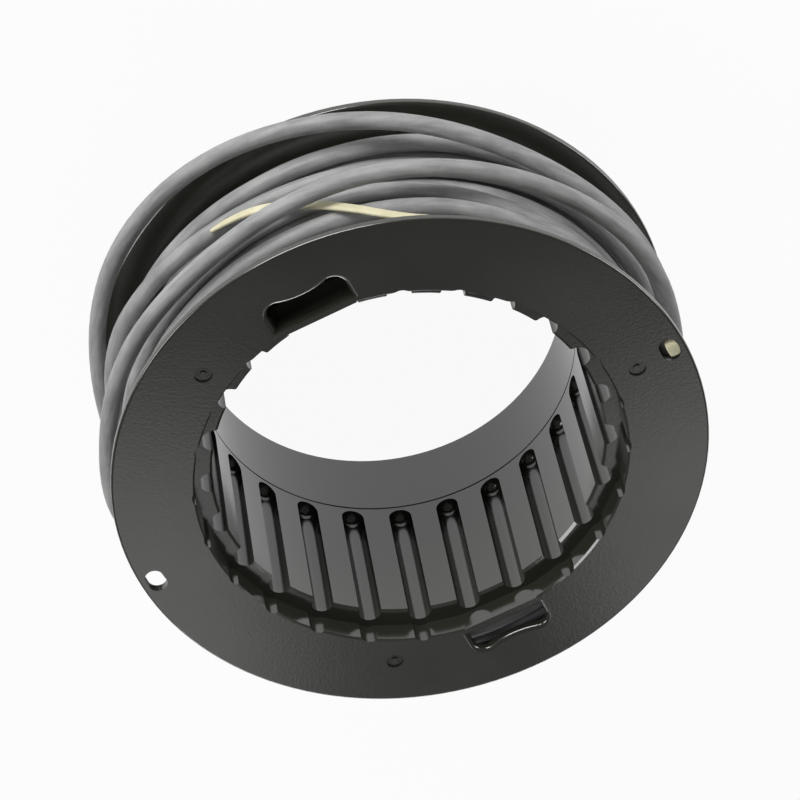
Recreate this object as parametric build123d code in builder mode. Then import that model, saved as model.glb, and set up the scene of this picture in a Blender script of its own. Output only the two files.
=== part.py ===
"""Replacement line spool for a garden grass trimmer, with its line wound on.

Millimetres, +Z up along the spool's axis. The spool stands on the end of its collar at z = 0, and the
open, fluted end of the hub is at the top. Angles are measured from +X, counterclockwise seen from above.
"""

import os
from math import cos, radians, sin

from build123d import *

# Flanges and drum
flange_radius = 40.0
flange_thickness = 1.2
flange_edge_round = 0.35
channel_width = 27.3
collar_height = 8.3
collar_wall = 2.0
collar_edge_break = 0.4

# Hub bore, from the collar's end upward
bore_radius = 26.4
bore_band_height = 11.9
band_line_depth = 0.12
band_line_width = 0.3
bore_lead_in = 0.5
ledge_depth = 3.2
ledge_bevel = 0.35
mouth_step = 2.6
mouth_wall = 2.0
mouth_bevel = 0.25

# Flutes: concave grooves that start in a rounded end and run out through the ledge
flute_count = 24
flute_phase = 3.4
flute_width = 3.25
flute_depth = 1.8
flute_end_gap = 0.7
scallop_radius = 1.6
scallop_reach = 0.45

# Windows in the front flange, with a rounded outer lip and a thin straight bar left at the mouth's edge
window_phase = 115.8
window_count = 2
window_edge_gap = 0.3
window_half_length = 5.5
window_bar_thickness = 0.8
window_bar_lap = 0.7
window_lobe_radius = 1.65
window_lobe_offset = 3.85
window_lobe_rise = 2.45
window_waist_rise = 3.45
window_pocket_depth = 2.5
window_lip_round = 0.6

# Gate marks left by moulding, small shallow dishes with a nub
mark_count = 3
mark_phase = 26.1
mark_inset = 1.85
mark_radius = 1.2
mark_depth = 0.3
nub_radius = 0.45
nub_height = 0.2

# Holes near the rim where the line's free end is parked
parking_angles = (27.0, 203.5)
parking_web = 0.9
parking_length = 3.6
parking_width = 2.6

# Wound line
line_diameter = 2.4
coil_depth_below_rim = 2.0
coil_edge_round = 1.2
ring_clearance = 0.3

# Loose outer turns of the line: how far their middle is off the axis, to which side, and their tilt
back_turn_offset = 1.3
back_turn_side = 135.0
back_turn_lift = 9.3
back_turn_rise = 6.0
back_turn_rise_side = 10.0
front_turn_offset = 1.0
front_turn_side = 85.0
front_turn_drop = 7.1
front_turn_rise = 2.5
front_turn_rise_side = 160.0

# Tie strand, laid over the winding and round the web of one parking hole
tie_diameter = 0.9
tie_lay_gap = 0.4
tie_bend = 0.5
tie_over_rim = 0.25
tie_dip_turn = 2.0
# Places along the winding: degrees on from the parking hole, and the drop below the front flange
tie_lay = ((8, 0.8), (22, 0.8), (36, 0.8), (50, 0.8), (62, 1.2), (75, 6.2), (88, 11.3), (99, 14.2), (110, 15.2))

# Places that follow from the sizes above
mouth_radius = bore_radius + mouth_step
back_flange_bottom = collar_height
channel_bottom = back_flange_bottom + flange_thickness
channel_top = channel_bottom + channel_width
front_face = channel_top + flange_thickness
ledge_height = front_face - ledge_depth
collar_radius = bore_radius + collar_wall
drum_radius = mouth_radius + mouth_wall
flute_end_height = bore_band_height + flute_end_gap
window_edge_distance = mouth_radius + window_edge_gap
window_lobe_distance = window_edge_distance + window_lobe_rise
window_waist_distance = window_edge_distance + window_waist_rise
mark_circle_radius = drum_radius + mark_inset
parking_circle_radius = flange_radius - parking_web - parking_width / 2
line_radius = line_diameter / 2
coil_radius = flange_radius - coil_depth_below_rim
back_turn_height = channel_bottom + back_turn_lift
front_turn_height = channel_top - front_turn_drop
tie_radius = tie_diameter / 2
tie_lay_radius = coil_radius + tie_radius + tie_lay_gap
flute_radius = flute_width / 2
flute_circle_radius = bore_radius + flute_depth - flute_radius


def at(radius, angle, height=0.0):
    """A point given by its distance from the axis, its angle in degrees and its height."""
    return (radius * cos(radians(angle)), radius * sin(radians(angle)), height)


def on_window_lip(edge):
    """Whether an edge's middle lies outward of the mouth and inward of the rim, where only the windows have edges."""
    middle = edge @ 0.5
    distance = (middle.X**2 + middle.Y**2) ** 0.5
    return window_lobe_distance < distance < flange_radius - flange_edge_round - window_lip_round


# Outline of one window: a straight inner edge, and an outer edge that is waisted between two round lobes
with BuildSketch() as window_outline:
    lobe_top = window_lobe_distance + window_lobe_radius
    lobe_side = window_lobe_offset + window_lobe_radius
    lobe_diagonal = window_lobe_radius * sin(radians(45))
    with BuildLine():
        Polyline(
            (window_lobe_distance, -lobe_side),
            (window_edge_distance, -window_half_length),
            (window_edge_distance, window_half_length),
            (window_lobe_distance, lobe_side),
        )
        ThreePointArc(
            (window_lobe_distance, lobe_side),
            (window_lobe_distance + lobe_diagonal, window_lobe_offset + lobe_diagonal),
            (lobe_top, window_lobe_offset),
        )
        ThreePointArc((lobe_top, window_lobe_offset), (window_waist_distance, 0), (lobe_top, -window_lobe_offset))
        ThreePointArc(
            (lobe_top, -window_lobe_offset),
            (window_lobe_distance + lobe_diagonal, -window_lobe_offset - lobe_diagonal),
            (window_lobe_distance, -lobe_side),
        )
    make_face()

# The spool body, one moulding
with BuildPart() as spool:
    # Both flanges, the drum, the collar and the stepped bore come from one turned section
    with BuildSketch(Plane.XZ):
        with BuildLine():
            Polyline(
                (bore_radius, bore_lead_in),
                (bore_radius + bore_lead_in, 0),
                (collar_radius - collar_edge_break, 0),
                (collar_radius, collar_edge_break),
                (collar_radius, back_flange_bottom),
                (flange_radius, back_flange_bottom),
                (flange_radius, channel_bottom),
                (drum_radius, channel_bottom),
                (drum_radius, channel_top),
                (flange_radius, channel_top),
                (flange_radius, front_face),
                (mouth_radius + mouth_bevel, front_face),
                (mouth_radius, front_face - mouth_bevel),
                (mouth_radius, ledge_height),
                (bore_radius + ledge_bevel, ledge_height),
                (bore_radius, ledge_height - ledge_bevel),
                (bore_radius, bore_band_height + band_line_width / 2),
                (bore_radius + band_line_depth, bore_band_height),
                (bore_radius, bore_band_height - band_line_width / 2),
                close=True,
            )
        make_face()
    revolve(axis=Axis.Z)

    # Rounded rims on both flanges
    rims = spool.edges().filter_by(GeomType.CIRCLE).filter_by(lambda edge: abs(edge.radius - flange_radius) < 0.01)
    fillet(rims, flange_edge_round)

    # Shallow scallops in the wall of the mouth, one in line with each flute
    with BuildSketch(Plane.XY.offset(ledge_height)):
        scallop_circle_radius = mouth_radius + scallop_reach - scallop_radius
        with PolarLocations(scallop_circle_radius, flute_count, start_angle=flute_phase):
            Circle(scallop_radius)
    extrude(amount=ledge_depth, mode=Mode.SUBTRACT)

    # Straight bars that bridge the mouth's edge in front of the two windows
    bar_inner_distance = window_edge_distance - window_bar_thickness
    bar_root_distance = mouth_radius + scallop_reach + window_bar_lap
    with BuildSketch(Plane.XY.offset(ledge_height)):
        with PolarLocations(0, window_count, start_angle=window_phase):
            with Locations(((bar_inner_distance + bar_root_distance) / 2, 0)):
                Rectangle(bar_root_distance - bar_inner_distance, 2 * window_half_length)
    extrude(amount=ledge_depth)

    # The windows go through the front flange and a little way into the end of the drum's wall
    with BuildSketch(Plane.XY.offset(channel_top - window_pocket_depth)):
        with PolarLocations(0, window_count, start_angle=window_phase):
            add(window_outline.sketch)
    extrude(amount=window_pocket_depth + flange_thickness, mode=Mode.SUBTRACT)

    # Their outer edge is rounded over where it meets the flange's face
    outer_lips = spool.edges().filter_by(GeomType.CIRCLE).filter_by(
        lambda edge: abs((edge @ 0.5).Z - front_face) < 0.01 and on_window_lip(edge)
    )
    fillet(outer_lips, window_lip_round)

    # Flutes in the bore: a round-bottomed groove with a ball end, repeated round the hub
    with PolarLocations(flute_circle_radius, flute_count, start_angle=flute_phase):
        with Locations((0, 0, flute_end_height + flute_radius)):
            Sphere(flute_radius, mode=Mode.SUBTRACT)
            Cylinder(
                flute_radius,
                ledge_height - flute_end_height - flute_radius,
                align=(Align.CENTER, Align.CENTER, Align.MIN),
                mode=Mode.SUBTRACT,
            )

    # Parking holes through the front flange
    with BuildSketch(Plane.XY.offset(channel_top)):
        for angle in parking_angles:
            with PolarLocations(parking_circle_radius, 1, start_angle=angle):
                SlotOverall(parking_length, parking_width, rotation=90)
    extrude(amount=flange_thickness, mode=Mode.SUBTRACT)

    # Gate marks: a shallow dish, with a nub left standing in it
    with BuildSketch(Plane.XY.offset(front_face)):
        with PolarLocations(mark_circle_radius, mark_count, start_angle=mark_phase):
            Circle(mark_radius)
    extrude(amount=-mark_depth, mode=Mode.SUBTRACT)
    with BuildSketch(Plane.XY.offset(front_face - mark_depth)):
        with PolarLocations(mark_circle_radius, mark_count, start_angle=mark_phase):
            Circle(nub_radius)
    extrude(amount=nub_height)

# The winding on the drum, a plain ring that fills the channel between the flanges
with BuildPart() as coil:
    with BuildSketch(Plane.XZ):
        with Locations(((drum_radius + coil_radius) / 2, (channel_bottom + channel_top) / 2)):
            section = Rectangle(coil_radius - drum_radius, channel_width)
        outer_corners = section.vertices().sort_by(Axis.X)[-2:]
        fillet(outer_corners, coil_edge_round)
    revolve(axis=Axis.Z)


def loose_turn(offset, side, height, rise, rise_side):
    """A round ring of line that just clears the winding on one side and stands off it on the other."""
    major = coil_radius + line_radius + ring_clearance + offset
    tilt = Plane(
        origin=at(offset, side, height),
        x_dir=(major * cos(radians(rise_side)), major * sin(radians(rise_side)), rise),
        z_dir=(-rise * cos(radians(rise_side)), -rise * sin(radians(rise_side)), major),
    )
    return tilt, major


back_plane, back_major = loose_turn(
    back_turn_offset, back_turn_side, back_turn_height, back_turn_rise, back_turn_rise_side
)
with BuildPart() as back_turn:
    with Locations(back_plane):
        Torus(back_major, line_radius)

front_plane, front_major = loose_turn(
    front_turn_offset, front_turn_side, front_turn_height, front_turn_rise, front_turn_rise_side
)
with BuildPart() as front_turn:
    with Locations(front_plane):
        Torus(front_major, line_radius)

# The tie strand runs from the parking hole over the rim, under the flange and aslant over the winding
rim_clear = flange_radius + tie_radius + tie_over_rim
top_clear = front_face + tie_radius + tie_over_rim
hole_wall = parking_circle_radius + parking_width / 2 - tie_radius - tie_over_rim
park_angle = parking_angles[0]
under_flange = channel_top - tie_radius - tie_over_rim
with BuildPart() as tie:
    with BuildLine():
        tie_path = FilletPolyline(
            at(hole_wall, park_angle, channel_top),
            at(hole_wall, park_angle, top_clear),
            at(rim_clear, park_angle, top_clear),
            at(rim_clear, park_angle + tie_dip_turn, under_flange),
            *(at(tie_lay_radius, park_angle + turn, under_flange - drop) for turn, drop in tie_lay),
            radius=tie_bend,
        )
    with BuildSketch(Plane(tie_path @ 0, z_dir=tie_path % 0)):
        Circle(tie_radius)
    sweep()

os.makedirs("parts", exist_ok=True)
for name, builder in (
    ("spool_body", spool),
    ("line_coil", coil),
    ("loose_turn_back", back_turn),
    ("loose_turn_front", front_turn),
    ("tie_strand", tie),
):
    builder.part.label = name
    export_step(builder.part, f"parts/{name}.step")
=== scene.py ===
"""Looks for the trimmer line spool: its plastic, the real wound line, the tie strand, light and camera."""

from math import cos, radians, sin

import bpy
import numpy as np
from mathutils import Matrix, Vector


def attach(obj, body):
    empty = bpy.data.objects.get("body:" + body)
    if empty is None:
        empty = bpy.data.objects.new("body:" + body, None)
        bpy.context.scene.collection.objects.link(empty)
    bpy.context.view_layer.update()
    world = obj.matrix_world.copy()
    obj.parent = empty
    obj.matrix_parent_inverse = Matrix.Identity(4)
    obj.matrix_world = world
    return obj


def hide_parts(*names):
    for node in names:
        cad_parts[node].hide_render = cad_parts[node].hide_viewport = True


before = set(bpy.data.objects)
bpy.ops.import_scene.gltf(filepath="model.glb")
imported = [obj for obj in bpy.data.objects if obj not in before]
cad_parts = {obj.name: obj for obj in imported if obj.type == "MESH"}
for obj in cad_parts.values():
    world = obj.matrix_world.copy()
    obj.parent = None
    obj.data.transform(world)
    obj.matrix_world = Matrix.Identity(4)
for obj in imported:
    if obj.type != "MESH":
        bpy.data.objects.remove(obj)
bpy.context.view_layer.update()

MM = 0.001
# Height of the back flange's outer face: the strands' heights below are measured from it
FLANGE_FOOT = 8.3

# The wound line, from the drum outward and clockwise seen from above. First come two close hidden layers:
# their distance from the axis, their lowest and highest turn, and how many turns they have.
LINE_DIAMETER = 2.4
DRUM_LAYER = dict(radius=32.3, low=2.6, high=26.9, turns=10)
SECOND_LAYER = dict(radius=34.5, low=3.2, high=26.4, turns=9)
# Places that are worked out in each turn of a layer
LAYER_PLACES = 8
# Neighbouring turns of a layer lie a little unevenly: by how much, how fast that changes in radians a turn,
# where it starts, and how steeply it sets in at the layer's ends
UNEVEN_HEIGHT, UNEVEN_RATE, UNEVEN_START, UNEVEN_ONSET = 0.22, 2.4, 1.1, 6
# Degrees from the end of the drum's layer to the second one, and from there to the first traced turn
PASSAGES = (120.0, 240.0)
# Then come the outer turns, traced from the photograph: angle, distance from the axis, height. Each runs from
# TURN_START degrees down through a full turn, where the next one starts.
TURN_START = 200.0
OUTER_TURNS = [
    # first turn over the two full layers, near the back flange
    [
        (200, 36.2, 5.4), (180, 36.6, 6.8), (160, 36.9, 7.0), (140, 37.0, 7.2), (125, 37.0, 7.7),
        (118, 37.0, 7.9), (110, 37.0, 7.8), (104, 37.0, 7.5), (97, 37.0, 7.0), (90, 37.0, 6.6),
        (80, 37.0, 6.2), (50, 37.0, 6.2), (20, 37.0, 6.8), (-20, 37.0, 7.4), (-60, 37.0, 8.2),
        (-110, 37.2, 9.2),
    ],
    # second turn, which rides up on the first at the left and runs under the front loop
    [
        (200, 37.5, 9.8), (190, 37.7, 9.5), (180, 38.4, 8.9), (168, 39.0, 8.1), (158, 38.6, 9.5),
        (148, 38.1, 10.7), (138, 37.6, 11.4), (128, 37.2, 12.0), (118, 37.0, 12.4), (108, 37.0, 12.6),
        (98, 37.0, 12.8), (88, 37.0, 12.9), (75, 37.0, 12.6), (60, 37.0, 11.8), (40, 37.0, 11.6),
        (20, 37.0, 11.6), (-20, 37.0, 12.5), (-60, 36.9, 14.5), (-110, 36.8, 17.0),
    ],
    # third turn, hidden behind the front loop at the left and open at the right
    [
        (200, 36.8, 18.6), (170, 36.8, 18.0), (150, 36.8, 17.4), (130, 36.8, 17.0), (120, 36.8, 16.6),
        (110, 36.8, 16.4), (104, 36.8, 16.8), (98, 36.8, 17.4), (90, 36.8, 18.0), (80, 36.8, 18.7),
        (70, 36.8, 19.8), (60, 36.7, 21.4), (50, 36.7, 23.1), (40, 36.7, 24.6), (30, 36.7, 24.9),
        (-20, 36.8, 24.7), (-60, 36.8, 24.6), (-110, 36.8, 24.8),
    ],
    # fourth turn, close under the front flange, which drops over the third where nothing is seen of it
    [
        (200, 36.8, 25.2), (180, 36.8, 24.8), (160, 36.8, 24.2), (140, 36.8, 23.2), (125, 36.8, 22.8),
        (115, 36.8, 22.4), (105, 36.8, 22.1), (95, 36.8, 21.8), (85, 36.8, 21.6), (75, 36.8, 22.1),
        (65, 36.9, 23.3), (55, 37.0, 24.9), (45, 37.1, 26.4), (33, 37.2, 27.1), (20, 37.2, 27.2),
        (-20, 37.1, 27.2), (-50, 37.0, 27.0), (-70, 37.8, 26.7), (-85, 38.9, 25.6), (-100, 39.4, 23.6),
        (-120, 39.3, 20.6), (-135, 39.1, 18.8), (-148, 39.0, 18.3),
    ],
    # fifth turn, the loose front loop
    [
        (200, 39.5, 20.6), (195, 40.0, 22.0), (190, 40.2, 22.9), (185, 40.2, 22.9), (180, 39.9, 22.6),
        (175, 39.8, 22.3), (170, 39.9, 22.1), (165, 40.1, 22.0), (160, 40.4, 22.0), (150, 40.5, 22.5),
        (140, 40.5, 23.1), (130, 40.6, 23.2), (120, 41.0, 22.5), (110, 41.4, 21.7), (100, 41.6, 20.7),
        (90, 41.7, 20.2), (80, 41.7, 20.2), (70, 41.6, 20.2), (60, 41.5, 20.1), (50, 41.5, 20.0),
        (42, 41.3, 19.9), (36, 40.9, 20.0), (31, 40.2, 20.1), (27, 39.6, 20.2), (22, 38.9, 20.2),
        (17, 38.1, 20.1), (12, 37.5, 20.0), (0, 37.1, 19.8), (-20, 37.2, 18.7), (-35, 37.6, 17.5),
        (-50, 38.8, 16.0), (-60, 39.5, 15.0), (-75, 39.5, 13.5), (-100, 39.5, 11.0), (-140, 39.5, 6.8),
    ],
    # sixth turn, the loose back loop that bulges past the flanges, ending bare in the channel
    [
        (200, 39.5, 4.4), (190, 39.5, 4.5), (180, 39.8, 4.8), (170, 40.6, 5.2), (160, 41.9, 5.1),
        (150, 42.8, 5.1), (140, 43.2, 5.1), (130, 43.3, 5.4), (120, 43.1, 5.9), (110, 42.6, 6.7),
        (100, 42.2, 7.7), (90, 41.8, 8.8), (80, 41.4, 10.4), (70, 41.0, 12.2), (60, 40.9, 13.7),
        (50, 40.9, 14.8), (40, 40.8, 15.7), (36, 40.6, 16.1), (32, 40.1, 16.4), (28, 39.5, 16.7),
        (23, 38.9, 16.9), (19, 38.5, 16.9), (14, 37.9, 16.9), (9, 37.5, 16.9), (0, 37.2, 16.6),
        (-10, 37.6, 16.2), (-20, 38.6, 15.7), (-30, 39.4, 14.9), (-40, 39.5, 14.0), (-60, 39.5, 12.0),
        (-75, 39.4, 10.4), (-90, 39.5, 8.9), (-125, 39.5, 5.6),
    ],
]
# The path is smoothed at places this many degrees apart, over this many of them at a time
FINE_STEP = 3.0
SMOOTHED_OVER = 11
# Degrees between the curve's control points
POINT_STEP = 12.0

# The tie strand: from its end in the right parking hole, under the front flange, then aslant over the turns.
# Each place is an angle, a radius, a height and the strand's width there.
TIE = [
    (24.9, 38.2, 29.2, 1.2), (25.5, 38.2, 29.45, 1.5), (26.4, 38.25, 29.5, 1.7),
    (27.5, 38.25, 29.5, 1.7), (28.3, 38.2, 29.25, 1.5), (28.9, 38.1, 28.7, 1.2),
    (29.6, 38.1, 28.1, 1.2), (31.0, 38.2, 27.8, 1.4), (34.0, 38.3, 27.75, 1.4),
    (41.0, 38.2, 27.75, 1.4), (50.0, 38.1, 27.75, 1.4), (59.0, 38.0, 27.75, 1.4),
    (68.0, 38.0, 27.75, 1.4), (77.0, 38.2, 27.75, 1.4), (85.0, 38.6, 27.75, 1.4),
    (90.0, 38.8, 27.4, 1.4), (93.0, 38.8, 26.6, 1.4), (96.0, 38.8, 25.5, 1.4), (99.5, 38.8, 23.9, 1.4),
    (103.0, 38.8, 22.3, 1.4), (107.0, 38.8, 20.5, 1.4), (112.0, 38.8, 18.4, 1.4),
    (117.0, 38.8, 16.4, 1.4), (121.5, 38.7, 15.0, 1.3), (125.5, 38.5, 14.0, 1.1),
    (128.0, 38.35, 13.4, 0.9), (130.0, 38.25, 13.0, 0.5),
]
TIE_THICKNESS = 0.5
# Where along the path, counted in places, the strand's flat side starts to turn outward, and over how many
TIE_TURN = (9, 4)
# Places that are worked out for each one given
TIE_CLOSE = 4
# Rounding of its edges as a share of the thickness, and the points round each of its four corners
TIE_EDGE = 0.42
CORNER_POINTS = 4


def at(radius, angle, height):
    """A point in metres, from millimetres and degrees, with its height over the back flange's face."""
    a = radians(angle)
    return Vector((radius * cos(a), radius * sin(a), height + FLANGE_FOOT)) * MM


def add(name, data):
    """A new object in the scene."""
    piece = bpy.data.objects.new(name, data)
    bpy.context.scene.collection.objects.link(piece)
    return piece


def wound_path():
    """The line's middle as angles, radii and heights, every POINT_STEP degrees."""
    knots = []
    turned = 0.0
    layers = ((DRUM_LAYER, "low", "high"), (SECOND_LAYER, "high", "low"))
    for (layer, start, end), passage in zip(layers, PASSAGES):
        count = layer["turns"]
        for i in range(count * LAYER_PLACES + 1):
            share = i / (count * LAYER_PLACES)
            height = layer[start] + (layer[end] - layer[start]) * share
            onset = min(1.0, UNEVEN_ONSET * share * (1 - share))
            height += UNEVEN_HEIGHT * sin(UNEVEN_RATE * share * count + UNEVEN_START) * onset
            knots.append((turned + 360.0 * count * share, layer["radius"], height))
        turned += 360.0 * count + passage
    for number, turn in enumerate(OUTER_TURNS):
        for angle, radius, height in turn:
            knots.append((turned + 360.0 * number + TURN_START - angle, radius, height))
    travelled, radii, heights = np.array(knots).T

    # The small surplus keeps the last place in
    fine = np.arange(travelled[0], travelled[-1] + 0.01, FINE_STEP)
    window = np.hanning(SMOOTHED_OVER)
    window /= window.sum()

    def smoothed(values):
        padded = np.pad(np.interp(fine, travelled, values), SMOOTHED_OVER // 2, mode="edge")
        return np.convolve(padded, window, mode="valid")

    every = int(POINT_STEP / FINE_STEP)
    angles = TURN_START + turned - fine
    return angles[::every], smoothed(radii)[::every], smoothed(heights)[::every]


def strand(name, points, radius, resolution, sides):
    """A round strand along control points, in metres."""
    data = bpy.data.curves.new(name, "CURVE")
    data.dimensions = "3D"
    data.resolution_u = resolution
    data.bevel_depth = 1.0
    data.bevel_resolution = sides
    data.use_fill_caps = True
    spline = data.splines.new("NURBS")
    spline.points.add(len(points) - 1)
    for point, place in zip(spline.points, points):
        point.co = (*place, 1.0)
        # The thickness is in the points, because a curve's bound box is widened by their radius
        point.radius = radius
    spline.order_u = 3
    spline.use_endpoint_u = True
    return add(name, data)


angles, radii, heights = wound_path()
# A curve cuts inside its control points by this share of the radius, so they stand out by as much
bow = 1 / (0.75 + 0.25 * cos(radians(POINT_STEP)))
line_points = [at(r * bow, a, z) for a, r, z in zip(angles, radii, heights)]
line = strand("wound_line", line_points, LINE_DIAMETER / 2 * MM, resolution=4, sides=5)
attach(line, "root")
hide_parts("line_coil", "loose_turn_back", "loose_turn_front")


def smooth_places(path, close):
    """A smooth curve through a path's places, with some worked out for each one given, and its widths there."""
    centre = [at(radius, angle, height) for angle, radius, height, width in path]
    places, widths = [], []
    for i, (p, q) in enumerate(zip(centre, centre[1:])):
        tangent_in = (q - centre[max(i - 1, 0)]) / 2
        tangent_out = (centre[min(i + 2, len(centre) - 1)] - p) / 2
        for j in range(close):
            t = j / close
            places.append(
                p * (2 * t**3 - 3 * t**2 + 1)
                + tangent_in * (t**3 - 2 * t**2 + t)
                + q * (-2 * t**3 + 3 * t**2)
                + tangent_out * (t**3 - t**2)
            )
            widths.append(path[i][3] * (1 - t) + path[i + 1][3] * t)
    return places + [centre[-1]], widths + [path[-1][3]]


def flat_section(thickness):
    """The points round a flat strip's section: each one's side, how far in from its edge, how high."""
    points = []
    edge = thickness * TIE_EDGE
    for side_x, side_y, start in ((1, 1, 0), (-1, 1, 90), (-1, -1, 180), (1, -1, 270)):
        for k in range(CORNER_POINTS):
            a = radians(start + 90 / (CORNER_POINTS - 1) * k)
            inward = edge * (cos(a) - side_x)
            points.append((side_x, inward, side_y * (thickness / 2 - edge) + edge * sin(a)))
    return points


def band(name, path, thickness, turn, close):
    """A flat strip along a path, as one closed mesh, level at first and turned outward later."""
    places, widths = smooth_places(path, close)
    section = flat_section(thickness)
    verts, faces = [], []
    facing = Vector((0, 0, 1))
    for i, place in enumerate(places):
        along = (places[min(i + 1, len(places) - 1)] - places[max(i - 1, 0)]).normalized()
        outward = Vector((place.x, place.y, 0)).normalized()
        turned = min(1.0, max(0.0, (i / close - turn[0]) / turn[1]))
        facing = facing * (1 - turned) + outward * turned
        facing = (facing - along * facing.dot(along)).normalized()
        across = along.cross(facing)
        for side, x, y in section:
            verts.append(place + across * ((side * widths[i] / 2 + x) * MM) + facing * (y * MM))
    n = len(section)
    for i in range(len(places) - 1):
        for k in range(n):
            after = (k + 1) % n
            faces.append((i * n + k, i * n + after, (i + 1) * n + after, (i + 1) * n + k))
    faces.append(tuple(range(n - 1, -1, -1)))
    faces.append(tuple(range((len(places) - 1) * n, len(places) * n)))
    mesh = bpy.data.meshes.new(name)
    mesh.from_pydata([tuple(v) for v in verts], [], faces)
    mesh.update()
    for polygon in mesh.polygons:
        polygon.use_smooth = True
    return add(name, mesh), places


tie, tie_middle = band("tie_band", TIE, TIE_THICKNESS, TIE_TURN, TIE_CLOSE)
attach(tie, "root")
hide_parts("tie_strand")


# Materials. Each of these helpers adds nodes and gives back the socket that holds their result.
def material(name):
    """A new material, with its nodes, its links, its one shader and its object coordinates."""
    made = bpy.data.materials.new(name)
    made.use_nodes = True
    nodes, links = made.node_tree.nodes, made.node_tree.links
    nodes.clear()
    output = nodes.new("ShaderNodeOutputMaterial")
    shader = nodes.new("ShaderNodeBsdfPrincipled")
    links.new(shader.outputs["BSDF"], output.inputs["Surface"])
    coords = nodes.new("ShaderNodeTexCoord").outputs["Object"]
    return made, nodes, links, shader, coords


def calculate(nodes, links, operation, *values):
    """One sum over sockets and numbers."""
    node = nodes.new("ShaderNodeMath")
    node.operation = operation
    for socket, value in zip(node.inputs, values):
        if isinstance(value, bpy.types.NodeSocket):
            links.new(value, socket)
        else:
            socket.default_value = value
    return node.outputs["Value"]


def noise(nodes, links, place, scale, detail, roughness=0.5):
    """A grey noise over a place."""
    texture = nodes.new("ShaderNodeTexNoise")
    texture.inputs["Scale"].default_value = scale
    texture.inputs["Detail"].default_value = detail
    texture.inputs["Roughness"].default_value = roughness
    links.new(place, texture.inputs["Vector"])
    return texture.outputs["Fac"]


def streak_noise(nodes, links, coords, scale, detail, pull):
    """A noise that is drawn out round the spool's axis, the way that the line runs."""
    split = nodes.new("ShaderNodeSeparateXYZ")
    links.new(coords, split.inputs["Vector"])
    turned = calculate(nodes, links, "ARCTAN2", split.outputs["Y"], split.outputs["X"])
    flat = nodes.new("ShaderNodeVectorMath")
    flat.operation = "MULTIPLY"
    flat.inputs[1].default_value = (1, 1, 0)
    links.new(coords, flat.inputs[0])
    reach = nodes.new("ShaderNodeVectorMath")
    reach.operation = "LENGTH"
    links.new(flat.outputs["Vector"], reach.inputs[0])
    place = nodes.new("ShaderNodeCombineXYZ")
    links.new(calculate(nodes, links, "MULTIPLY", turned, pull), place.inputs["X"])
    links.new(reach.outputs["Value"], place.inputs["Y"])
    links.new(split.outputs["Z"], place.inputs["Z"])
    return noise(nodes, links, place.outputs["Vector"], scale, detail)


def ramp(nodes, links, source, low, high, start=0.3, end=0.7):
    """Maps a grey value to a range between two colours."""
    node = nodes.new("ShaderNodeValToRGB")
    for element, place, colour in zip(node.color_ramp.elements, (start, end), (low, high)):
        element.position = place
        element.color = (*colour, 1)
    links.new(source, node.inputs["Fac"])
    return node.outputs["Color"]


def spread(nodes, links, source, low, high, start=0.3, end=0.7):
    """Maps a grey value to a range of numbers."""
    node = nodes.new("ShaderNodeMapRange")
    node.inputs["From Min"].default_value = start
    node.inputs["From Max"].default_value = end
    node.inputs["To Min"].default_value = low
    node.inputs["To Max"].default_value = high
    links.new(source, node.inputs["Value"])
    return node.outputs["Result"]


def bump(nodes, links, source, strength, depth, before=None):
    """A small relief from a grey value, its depth in metres, over a relief that may come before."""
    node = nodes.new("ShaderNodeBump")
    node.inputs["Strength"].default_value = strength
    node.inputs["Distance"].default_value = depth
    links.new(source, node.inputs["Height"])
    if before is not None:
        links.new(before, node.inputs["Normal"])
    return node.outputs["Normal"]


# Spool plastic: dark, slightly green grey, moulded satin with a fine grain and slow patches
spool_plastic, nodes, links, shader, coords = material("spool_plastic")
slow = noise(nodes, links, coords, 45.0, 3.0)
grain = noise(nodes, links, coords, 2600.0, 2.0)
shade = ramp(nodes, links, slow, (0.0205, 0.0215, 0.0158), (0.0265, 0.0275, 0.0205))
links.new(shade, shader.inputs["Base Color"])
links.new(spread(nodes, links, slow, 0.15, 0.20), shader.inputs["Roughness"])
shader.inputs["IOR"].default_value = 1.85
links.new(bump(nodes, links, grain, 0.25, 0.00003), shader.inputs["Normal"])

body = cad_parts["spool_body"]
body.data.materials.clear()
body.data.materials.append(spool_plastic)

# Line: extruded nylon, mid grey, satin, a little streaked along its length
STREAK_SHARE = 0.55
nylon, nodes, links, shader, coords = material("line_nylon")
slow = noise(nodes, links, coords, 160.0, 4.0, 0.6)
grain = noise(nodes, links, coords, 3000.0, 2.0)
streaks = streak_noise(nodes, links, coords, 1400.0, 3.0, 0.006)
slow_part = calculate(nodes, links, "MULTIPLY", slow, 1 - STREAK_SHARE)
both = calculate(nodes, links, "MULTIPLY_ADD", streaks, STREAK_SHARE, slow_part)
shade = ramp(nodes, links, both, (0.22, 0.221, 0.224), (0.36, 0.36, 0.357), 0.37, 0.63)
links.new(shade, shader.inputs["Base Color"])
links.new(spread(nodes, links, slow, 0.45, 0.60), shader.inputs["Roughness"])
fine_bump = bump(nodes, links, grain, 0.2, 0.00002)
links.new(bump(nodes, links, both, 0.35, 0.0002, fine_bump), shader.inputs["Normal"])
line.data.materials.append(nylon)

# Tie strand: dull cream with a fine fibre
cream, nodes, links, shader, coords = material("tie_cream")
slow = noise(nodes, links, coords, 400.0, 3.0)
fibre = noise(nodes, links, coords, 2500.0, 2.0)
shade = ramp(nodes, links, slow, (0.62, 0.58, 0.38), (0.74, 0.70, 0.50))
links.new(shade, shader.inputs["Base Color"])
links.new(spread(nodes, links, slow, 0.5, 0.65), shader.inputs["Roughness"])
links.new(bump(nodes, links, fibre, 0.3, 0.00003), shader.inputs["Normal"])
tie.data.materials.append(cream)

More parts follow.
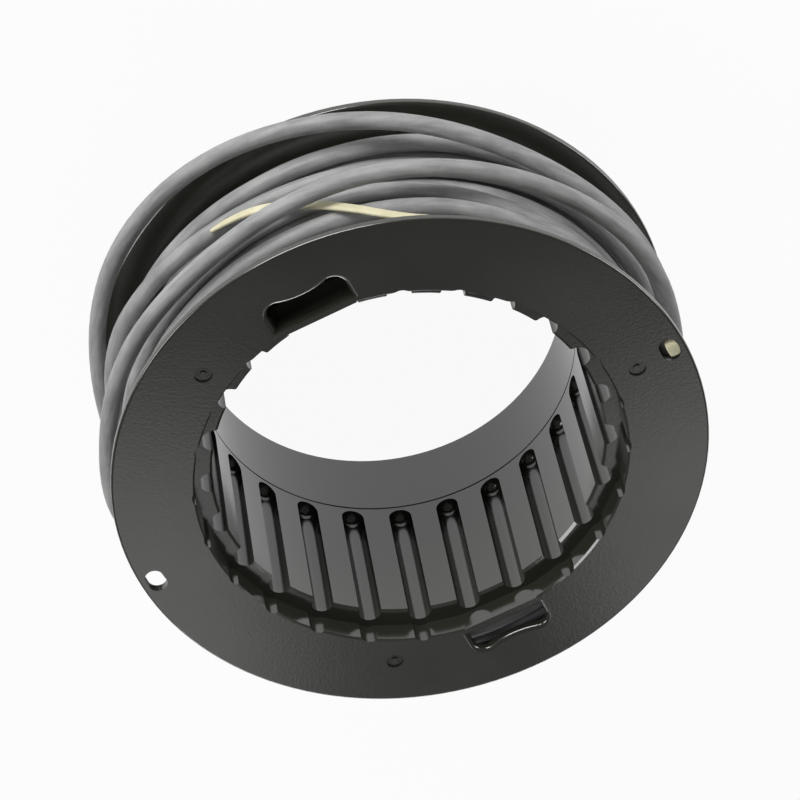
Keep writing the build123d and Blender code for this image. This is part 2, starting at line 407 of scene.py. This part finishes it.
# Floor: a plain white sheet that the spool's collar stands on, wide enough to fill low views too
FLOOR_HALF = 30.0
corners = [(x * FLOOR_HALF, y * FLOOR_HALF, 0) for x, y in ((-1, -1), (1, -1), (1, 1), (-1, 1))]
floor_mesh = bpy.data.meshes.new("floor")
floor_mesh.from_pydata(corners, [], [(0, 1, 2, 3)])
floor = add("floor", floor_mesh)
paper, nodes, links, shader, coords = material("floor_paper")
slow = noise(nodes, links, coords, 6.0, 2.0)
shade = ramp(nodes, links, slow, (0.88, 0.88, 0.88), (0.92, 0.92, 0.92))
links.new(shade, shader.inputs["Base Color"])
shader.inputs["Roughness"].default_value = 0.9
# Seen directly or in a reflection the paper is white by this share, and the rest of it shows the shadow
WHITE_SHARE = 0.94
glow = nodes.new("ShaderNodeEmission")
glow.inputs["Color"].default_value = (1, 1, 1, 1)
glow.inputs["Strength"].default_value = 1.0
ray = nodes.new("ShaderNodeLightPath").outputs
seen = calculate(nodes, links, "MAXIMUM", ray["Is Camera Ray"], ray["Is Glossy Ray"])
seen = calculate(nodes, links, "MAXIMUM", seen, ray["Is Transmission Ray"])
mix = nodes.new("ShaderNodeMixShader")
links.new(calculate(nodes, links, "MULTIPLY", seen, WHITE_SHARE), mix.inputs["Fac"])
links.new(shader.outputs["BSDF"], mix.inputs[1])
links.new(glow.outputs["Emission"], mix.inputs[2])
output = next(n for n in nodes if n.type == "OUTPUT_MATERIAL")
links.new(mix.outputs["Shader"], output.inputs["Surface"])
floor.data.materials.append(paper)

# World: a dim even light
world = bpy.data.worlds.new("studio")
bpy.context.scene.world = world
world.use_nodes = True
background = world.node_tree.nodes["Background"]
background.inputs["Color"].default_value = (1, 1, 1, 1)
background.inputs["Strength"].default_value = 0.12

# Lamps a metre from the spool's middle and turned to it: azimuth, elevation, size in metres, power in watts
MIDDLE_HEIGHT = 0.02
LAMPS = {
    "key_near": (115, 12, (0.7, 0.35), 8.5),
    "side_left": (172, 24, (0.4, 0.4), 2.6),
    "side_right": (18, 11, (0.5, 0.35), 3.4),
    "back_low": (-90, 12, (0.7, 0.35), 5.0),
    "far_left": (-98, 46.5, (0.28, 0.28), 0.27),
    "far_right": (-62, 45, (0.28, 0.28), 0.25),
}
for name, (azimuth, elevation, size, power) in LAMPS.items():
    data = bpy.data.lights.new(name, "AREA")
    data.shape = "RECTANGLE"
    data.size, data.size_y = size
    data.energy = power
    a, e = radians(azimuth), radians(elevation)
    place = Vector((cos(e) * cos(a), cos(e) * sin(a), sin(e) + MIDDLE_HEIGHT))
    lamp = add(name, data)
    lamp.location = place
    lamp.rotation_mode = "QUATERNION"
    lamp.rotation_quaternion = (Vector((0, 0, MIDDLE_HEIGHT)) - place).to_track_quat("-Z", "Y")

# Camera, placed where the photograph was taken from
camera_data = bpy.data.cameras.new("camera")
camera_data.sensor_width = 36.0
camera_data.lens = 140.1
camera = add("camera", camera_data)
right = (0.99157, 0.00634, 0.12941)
up = (0.07154, 0.80596, -0.58763)
back = (-0.10803, 0.59193, 0.79872)
viewpoint = (-0.04562, 0.25214, 0.36182)
camera.matrix_world = Matrix((*zip(right, up, back, viewpoint), (0, 0, 0, 1)))
bpy.context.scene.camera = camera

scene = bpy.context.scene
scene.view_settings.view_transform = "Standard"

bpy.context.view_layer.update()
